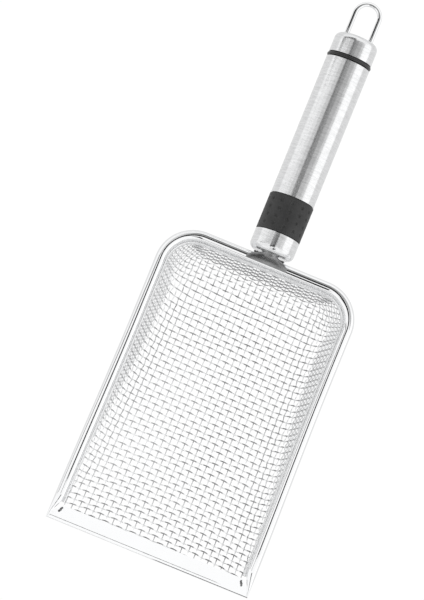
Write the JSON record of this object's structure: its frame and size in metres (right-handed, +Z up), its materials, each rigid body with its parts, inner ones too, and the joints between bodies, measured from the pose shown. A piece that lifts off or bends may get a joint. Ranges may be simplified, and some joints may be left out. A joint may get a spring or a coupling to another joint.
{
  "type": "beach sand scoop",
  "caption": "Sand scoop with a deep pressed woven-wire basket, U-shaped polished rim, flat front lip and a tubular steel handle with a rubber band and hanging loop.",
  "frame": {"origin": "under the middle of the scoop's whole box, on the surface that the basket stands on", "axes": "+Z up with the mouth's rim level; +Y from the lip towards the handle's loop; X across the mouth"},
  "size_m": [0.1248, 0.3484, 0.0757],
  "materials": {
    "polished_steel": "mirror-polished stainless steel with fine handling scratches",
    "lip_steel": "polished stainless strip, lightly scuffed along its front edge",
    "mesh_wire": "bright drawn stainless wire, plain weave",
    "weld_metal": "dark heat-tinted weld",
    "bracket_steel": "tumbled grey steel",
    "ferrule_steel": "fine satin stainless with a polished rounded end",
    "brushed_steel": "satin stainless brushed around the handle",
    "black_rubber": "matt black rubber with rows of small dimples",
    "ring_rubber": "black rubber, slightly shiny",
    "loop_wire": "polished stainless wire",
    "nylon": "natural moulded nylon"
  },
  "bodies": {
    "root": {"rim_rod": "polished_steel", "rim_band": "polished_steel", "mesh_basket": "mesh_wire", "front_lip": "lip_steel", "tip_weld_left": "weld_metal", "tip_weld_right": "weld_metal", "handle_bracket": "bracket_steel", "bracket_weld_left": "weld_metal", "bracket_weld_right": "weld_metal", "ferrule": "ferrule_steel", "front_plug": "nylon", "grip_band": "black_rubber", "core_sleeve": "nylon", "tang_rod": "bracket_steel", "tang_washer": "bracket_steel", "tang_nut": "bracket_steel", "handle_tube": "brushed_steel", "spacer_ring": "ring_rubber", "rear_plug": "nylon", "end_cap": "brushed_steel", "loop_retainer": "bracket_steel", "hanging_loop": "loop_wire"}
  },
  "joints": []
}
